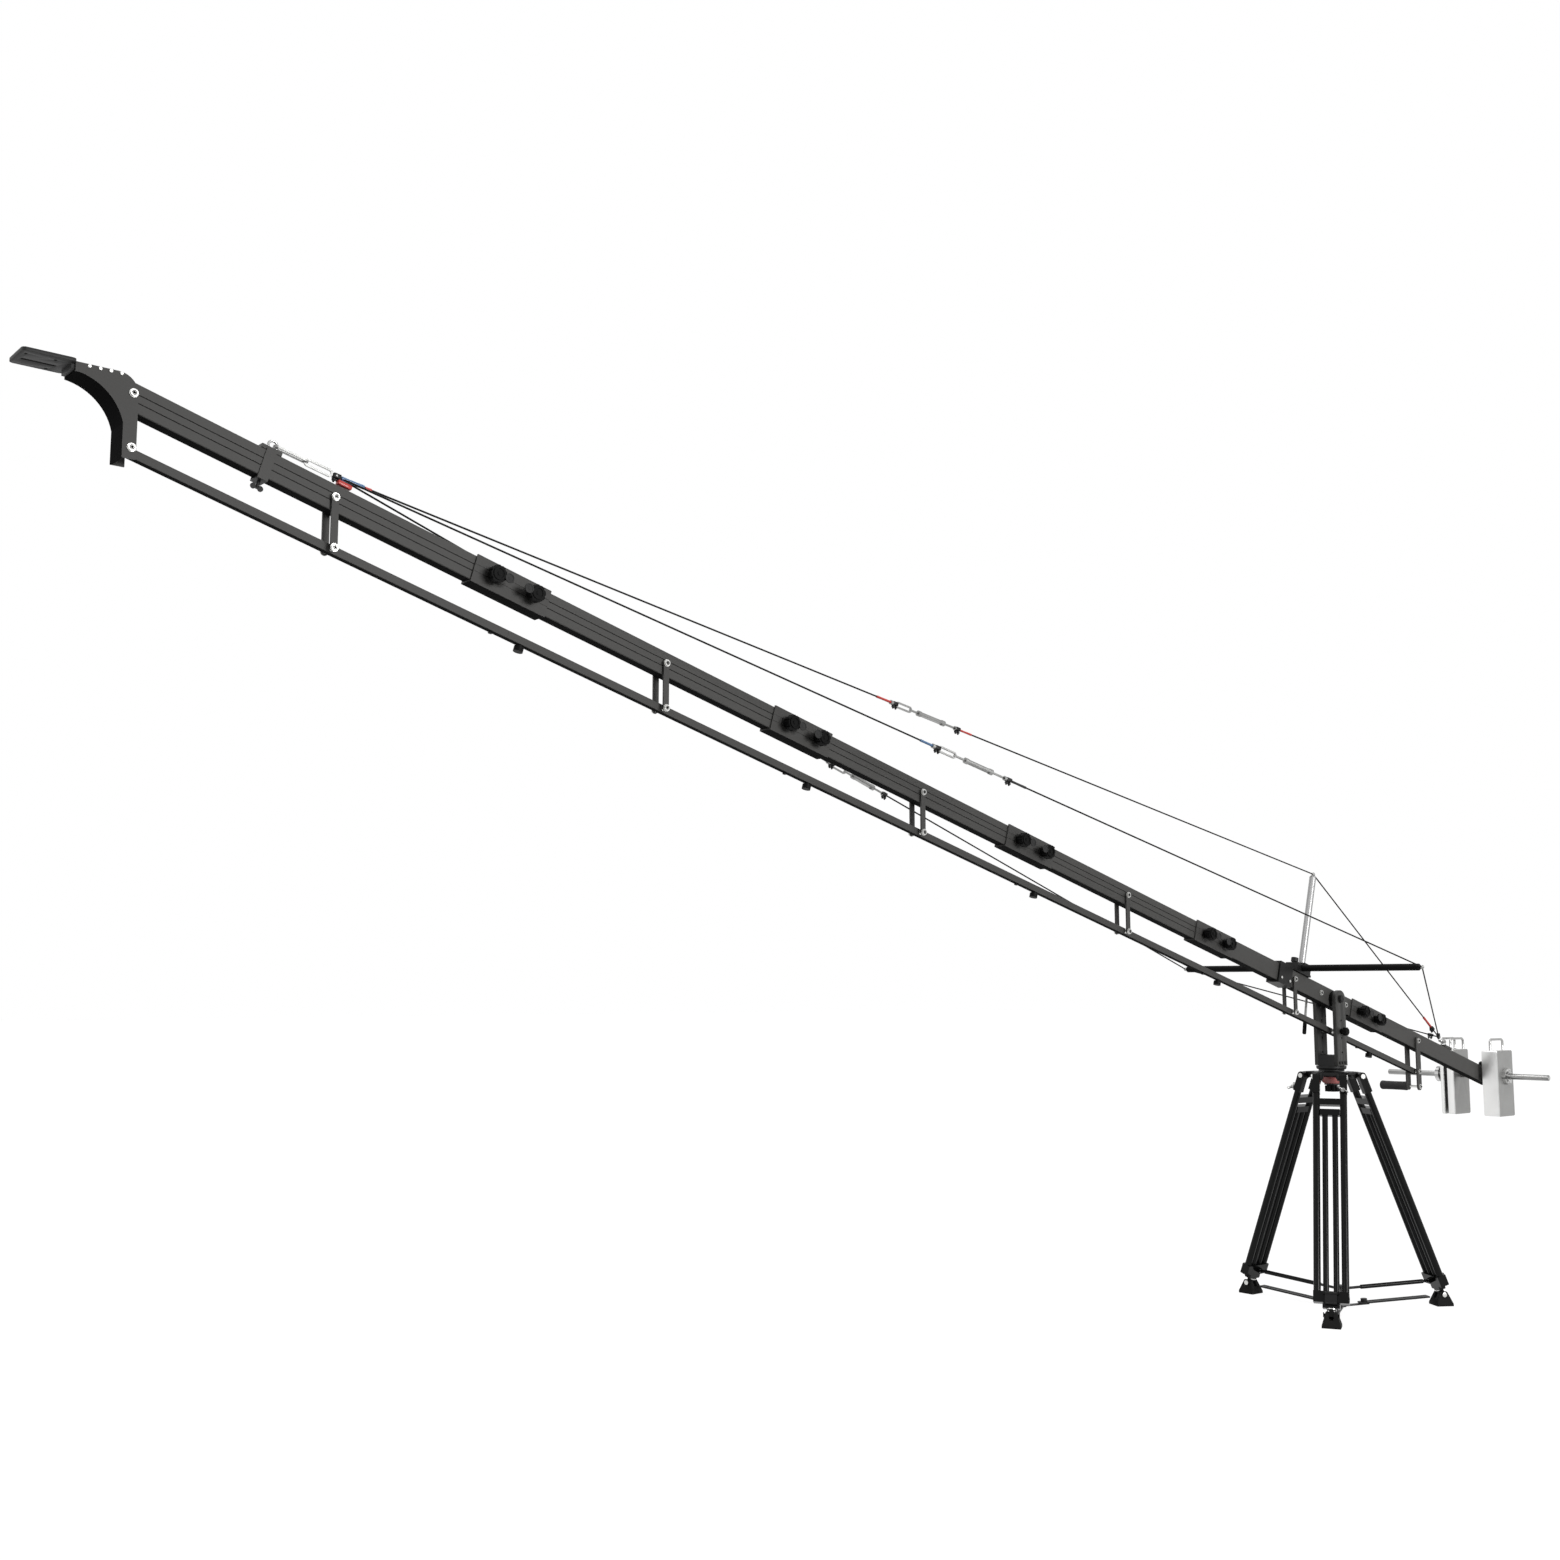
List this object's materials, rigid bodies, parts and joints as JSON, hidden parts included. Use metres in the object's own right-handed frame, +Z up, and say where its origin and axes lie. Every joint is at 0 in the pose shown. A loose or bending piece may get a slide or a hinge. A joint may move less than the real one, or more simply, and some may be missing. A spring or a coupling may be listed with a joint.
{
  "type": "camera jib crane",
  "caption": "Long sectional camera boom with a parallel link frame and stay wires, counterweights at the rear, panning on a twin-tube tripod with a spreader.",
  "frame": {"origin": "on the pan axis at floor level", "axes": "+Z up, +X from the nose to the counterweights in level plan, -Y to the side with the clamp knobs"},
  "size_m": [6.117, 1.042, 2.556],
  "materials": {
    "boom_anodised": "dark grey anodised, satin",
    "link_anodised": "dark grey anodised, satin",
    "post_grey": "dark grey anodised, satin",
    "black_aluminium": "black anodised, semi-gloss",
    "black_knob": "moulded, satin",
    "steel_bright": "machined and bright",
    "mast_aluminium": "polished tube",
    "wire_black": "black coated wire rope",
    "weight_steel": "ground and pale",
    "ball_red": "red anodised",
    "lever_grey": "grey, satin",
    "foam_black": "closed cell foam",
    "shoe_black": "moulded rubber",
    "bearing_black": "moulded, satin"
  },
  "bodies": {
    "tripod": {"tripod_crown": "black_aluminium"},
    "leveller": {"levelling_ball": "ball_red"},
    "tie_down": {"tie_down_knob": "black_knob"},
    "post": {"pan_base": "black_aluminium", "upright_near": "post_grey", "upright_far": "post_grey", "tilt_axle": "steel_bright"},
    "rod_knob": {"rod_pivot_knob": "black_knob"},
    "brake": {"tilt_brake_lever": "lever_grey"},
    "boom": {"pivot_bearings": "bearing_black", "boom_section_1": "boom_anodised", "boom_section_2": "boom_anodised", "boom_section_3": "boom_anodised", "boom_section_4": "boom_anodised", "boom_section_5": "boom_anodised", "boom_section_6": "boom_anodised", "section_couplers": "boom_anodised", "coupler_knobs": "black_knob", "link_bolts": "steel_bright", "stay_anchors": "steel_bright", "outrigger_clamp": "black_aluminium", "outrigger_arm": "black_aluminium", "mast": "mast_aluminium", "stay_wires": "wire_black", "stay_fittings": "steel_bright", "weight_bar": "weight_steel"},
    "rod": {"lower_rod": "link_anodised", "rod_thumbscrews": "black_knob"},
    "weight_near": {"counterweight_near": "weight_steel"},
    "weight_far_inner": {"counterweight_far_inner": "weight_steel"},
    "weight_far_outer": {"counterweight_far_outer": "weight_steel"},
    "bar_knob": {"weight_lock_knob": "black_knob"},
    "nose": {"nose_bracket": "link_anodised", "camera_plate": "link_anodised"},
    "hub": {"spreader_hub": "black_aluminium"},
    "link_1": {"link_1": "link_anodised"},
    "link_2": {"link_2": "link_anodised"},
    "link_3": {"link_3": "link_anodised"},
    "link_4": {"link_4": "link_anodised"},
    "link_5": {"link_5": "link_anodised"},
    "link_6": {"link_6": "link_anodised", "rear_grip": "foam_black"},
    "leg_near": {"leg_upper_near": "black_aluminium"},
    "lower_near": {"leg_lower_near": "black_aluminium"},
    "shoe_near": {"foot_near": "shoe_black"},
    "lock_near": {"leg_lock_near": "steel_bright"},
    "stay_rod_near": {"spreader_rod_near": "black_aluminium"},
    "slot_plate_near": {"spreader_plate_near": "black_aluminium"},
    "leg_left": {"leg_upper_left": "black_aluminium"},
    "lower_left": {"leg_lower_left": "black_aluminium"},
    "shoe_left": {"foot_left": "shoe_black"},
    "lock_left": {"leg_lock_left": "steel_bright"},
    "stay_rod_left": {"spreader_rod_left": "black_aluminium"},
    "slot_plate_left": {"spreader_plate_left": "black_aluminium"},
    "leg_right": {"leg_upper_right": "black_aluminium"},
    "lower_right": {"leg_lower_right": "black_aluminium"},
    "shoe_right": {"foot_right": "shoe_black"},
    "lock_right": {"leg_lock_right": "steel_bright"},
    "stay_rod_right": {"spreader_rod_right": "black_aluminium"},
    "slot_plate_right": {"spreader_plate_right": "black_aluminium"}
  },
  "joints": [
    {"name": "level", "type": "hinge", "parent": "tripod", "child": "leveller", "pos_m": [0, 0, 0.88], "axis": [0, 1, 0], "range_deg": [-6, 6]},
    {"name": "tie_down_turn", "type": "hinge", "parent": "leveller", "child": "tie_down", "pos_m": [0, 0, 0.82], "axis": [0, 0, 1], "continuous": true},
    {"name": "pan", "type": "hinge", "parent": "leveller", "child": "post", "pos_m": [0, 0, 0.9], "axis": [0, 0, 1], "continuous": true},
    {"name": "tilt", "type": "hinge", "parent": "post", "child": "boom", "pos_m": [0, 0, 1.162], "axis": [0, 1, 0], "range_deg": [-26, 28]},
    {"name": "lower_rod_tilt", "type": "hinge", "parent": "post", "child": "rod", "pos_m": [0, 0, 1.038], "axis": [0, 1, 0], "range_deg": [-26, 28]},
    {"name": "link_1_swing", "type": "hinge", "parent": "boom", "child": "link_1", "pos_m": [-4.18131, 0, 2.36887], "axis": [0, 1, 0], "range_deg": [-28, 26]},
    {"name": "link_2_swing", "type": "hinge", "parent": "boom", "child": "link_2", "pos_m": [-3.20132, 0, 2.08601], "axis": [0, 1, 0], "range_deg": [-28, 26]},
    {"name": "link_3_swing", "type": "hinge", "parent": "boom", "child": "link_3", "pos_m": [-2.22132, 0, 1.80315], "axis": [0, 1, 0], "range_deg": [-28, 26]},
    {"name": "link_4_swing", "type": "hinge", "parent": "boom", "child": "link_4", "pos_m": [-1.24133, 0, 1.52029], "axis": [0, 1, 0], "range_deg": [-28, 26]},
    {"name": "link_5_swing", "type": "hinge", "parent": "boom", "child": "link_5", "pos_m": [-0.26133, 0, 1.23743], "axis": [0, 1, 0], "range_deg": [-28, 26]},
    {"name": "link_6_swing", "type": "hinge", "parent": "boom", "child": "link_6", "pos_m": [0.59376, 0, 0.99062], "axis": [0, 1, 0], "range_deg": [-28, 26]},
    {"name": "nose_swing", "type": "hinge", "parent": "boom", "child": "nose", "pos_m": [-4.67035, 0, 2.51003], "axis": [0, 1, 0], "range_deg": [-28, 26]},
    {"name": "rod_knob_turn", "type": "hinge", "parent": "post", "child": "rod_knob", "pos_m": [0, -0.06, 1.038], "axis": [0, 1, 0], "continuous": true},
    {"name": "brake_turn", "type": "hinge", "parent": "post", "child": "brake", "pos_m": [0, 0.058, 1.162], "axis": [0, 1, 0], "range_deg": [-20, 25]},
    {"name": "weight_near_slide", "type": "slide", "parent": "boom", "child": "weight_near", "axis": [0, 1, 0], "range_m": [0, 0.0175]},
    {"name": "weight_far_inner_slide", "type": "slide", "parent": "boom", "child": "weight_far_inner", "axis": [0, -1, 0], "range_m": [0, 0.071]},
    {"name": "weight_far_outer_slide", "type": "slide", "parent": "boom", "child": "weight_far_outer", "axis": [0, -1, 0], "range_m": [0, 0.0145]},
    {"name": "bar_knob_turn", "type": "hinge", "parent": "boom", "child": "bar_knob", "pos_m": [1.15389, 0, 0.87579], "axis": [0.2773, 0, 0.9608], "continuous": true},
    {"name": "leg_near_spread", "type": "hinge", "parent": "tripod", "child": "leg_near", "pos_m": [-0.08476, -0.04507, 0.868], "axis": [0.4695, -0.8829, 0], "range_deg": [0, 4.5]},
    {"name": "leg_near_extend", "type": "slide", "parent": "leg_near", "child": "lower_near", "axis": [-0.3129, -0.1664, -0.9351], "range_m": [0, 0.45]},
    {"name": "shoe_near_tilt", "type": "hinge", "parent": "lower_near", "child": "shoe_near", "pos_m": [-0.36113, -0.19201, 0.042], "axis": [0.4695, -0.8829, 0], "range_deg": [-15, 15]},
    {"name": "lock_near_flip", "type": "hinge", "parent": "leg_near", "child": "lock_near", "pos_m": [-0.3581, -0.19041, 0.11877], "axis": [-0.4695, 0.8829, 0], "range_deg": [0, 80]},
    {"name": "spreader_rod_near_swing", "type": "hinge", "parent": "leg_near", "child": "stay_rod_near", "pos_m": [-0.31995, -0.17012, 0.0917], "axis": [0.4695, -0.8829, 0], "range_deg": [-4.5, 0]},
    {"name": "leg_left_spread", "type": "hinge", "parent": "tripod", "child": "leg_left", "pos_m": [0.00335, 0.09594, 0.868], "axis": [-0.9994, 0.0349, 0], "range_deg": [0, 4.5]},
    {"name": "leg_left_extend", "type": "slide", "parent": "leg_left", "child": "lower_left", "axis": [0.0124, 0.3541, -0.9351], "range_m": [0, 0.45]},
    {"name": "shoe_left_tilt", "type": "hinge", "parent": "lower_left", "child": "shoe_left", "pos_m": [0.01427, 0.40875, 0.042], "axis": [-0.9994, 0.0349, 0], "range_deg": [-15, 15]},
    {"name": "lock_left_flip", "type": "hinge", "parent": "leg_left", "child": "lock_left", "pos_m": [0.01415, 0.40533, 0.11877], "axis": [0.9994, -0.0349, 0], "range_deg": [0, 80]},
    {"name": "spreader_rod_left_swing", "type": "hinge", "parent": "leg_left", "child": "stay_rod_left", "pos_m": [0.01265, 0.36214, 0.0917], "axis": [-0.9994, 0.0349, 0], "range_deg": [-4.5, 0]},
    {"name": "leg_right_spread", "type": "hinge", "parent": "tripod", "child": "leg_right", "pos_m": [0.08141, -0.05087, 0.868], "axis": [0.5299, 0.848, 0], "range_deg": [0, 4.5]},
    {"name": "leg_right_extend", "type": "slide", "parent": "leg_right", "child": "lower_right", "axis": [0.3005, -0.1878, -0.9351], "range_m": [0, 0.45]},
    {"name": "shoe_right_tilt", "type": "hinge", "parent": "lower_right", "child": "shoe_right", "pos_m": [0.34685, -0.21674, 0.042], "axis": [0.5299, 0.848, 0], "range_deg": [-15, 15]},
    {"name": "lock_right_flip", "type": "hinge", "parent": "leg_right", "child": "lock_right", "pos_m": [0.34395, -0.21492, 0.11877], "axis": [-0.5299, -0.848, 0], "range_deg": [0, 80]},
    {"name": "spreader_rod_right_swing", "type": "hinge", "parent": "leg_right", "child": "stay_rod_right", "pos_m": [0.3073, -0.19202, 0.0917], "axis": [0.5299, 0.848, 0], "range_deg": [-4.5, 0]},
    {"name": "hub_drop", "type": "slide", "parent": "tripod", "child": "hub", "axis": [0, 0, 1], "range_m": [-0.0149, 0]},
    {"name": "slot_plate_near_slide", "type": "slide", "parent": "hub", "child": "slot_plate_near", "axis": [-0.8814, -0.4686, 0.0598], "range_m": [-0.0624, 0]},
    {"name": "slot_plate_left_slide", "type": "slide", "parent": "hub", "child": "slot_plate_left", "axis": [0.0348, 0.9976, 0.0598], "range_m": [-0.0624, 0]},
    {"name": "slot_plate_right_slide", "type": "slide", "parent": "hub", "child": "slot_plate_right", "axis": [0.8465, -0.529, 0.0598], "range_m": [-0.0624, 0]}
  ],
  "couplings": [
    {"joint": "lower_rod_tilt", "follows": "tilt", "ratio": 1},
    {"joint": "link_1_swing", "follows": "tilt", "ratio": -1},
    {"joint": "link_2_swing", "follows": "tilt", "ratio": -1},
    {"joint": "link_3_swing", "follows": "tilt", "ratio": -1},
    {"joint": "link_4_swing", "follows": "tilt", "ratio": -1},
    {"joint": "link_5_swing", "follows": "tilt", "ratio": -1},
    {"joint": "link_6_swing", "follows": "tilt", "ratio": -1},
    {"joint": "nose_swing", "follows": "tilt", "ratio": -1},
    {"joint": "leg_left_spread", "follows": "leg_near_spread", "ratio": 1},
    {"joint": "leg_right_spread", "follows": "leg_near_spread", "ratio": 1},
    {"joint": "spreader_rod_near_swing", "follows": "leg_near_spread", "ratio": -1},
    {"joint": "slot_plate_near_slide", "follows": "leg_near_spread", "m_per_rad": -0.786},
    {"joint": "spreader_rod_left_swing", "follows": "leg_near_spread", "ratio": -1},
    {"joint": "slot_plate_left_slide", "follows": "leg_near_spread", "m_per_rad": -0.786},
    {"joint": "spreader_rod_right_swing", "follows": "leg_near_spread", "ratio": -1},
    {"joint": "slot_plate_right_slide", "follows": "leg_near_spread", "m_per_rad": -0.786},
    {"joint": "hub_drop", "follows": "leg_near_spread", "m_per_rad": -0.1876}
  ]
}
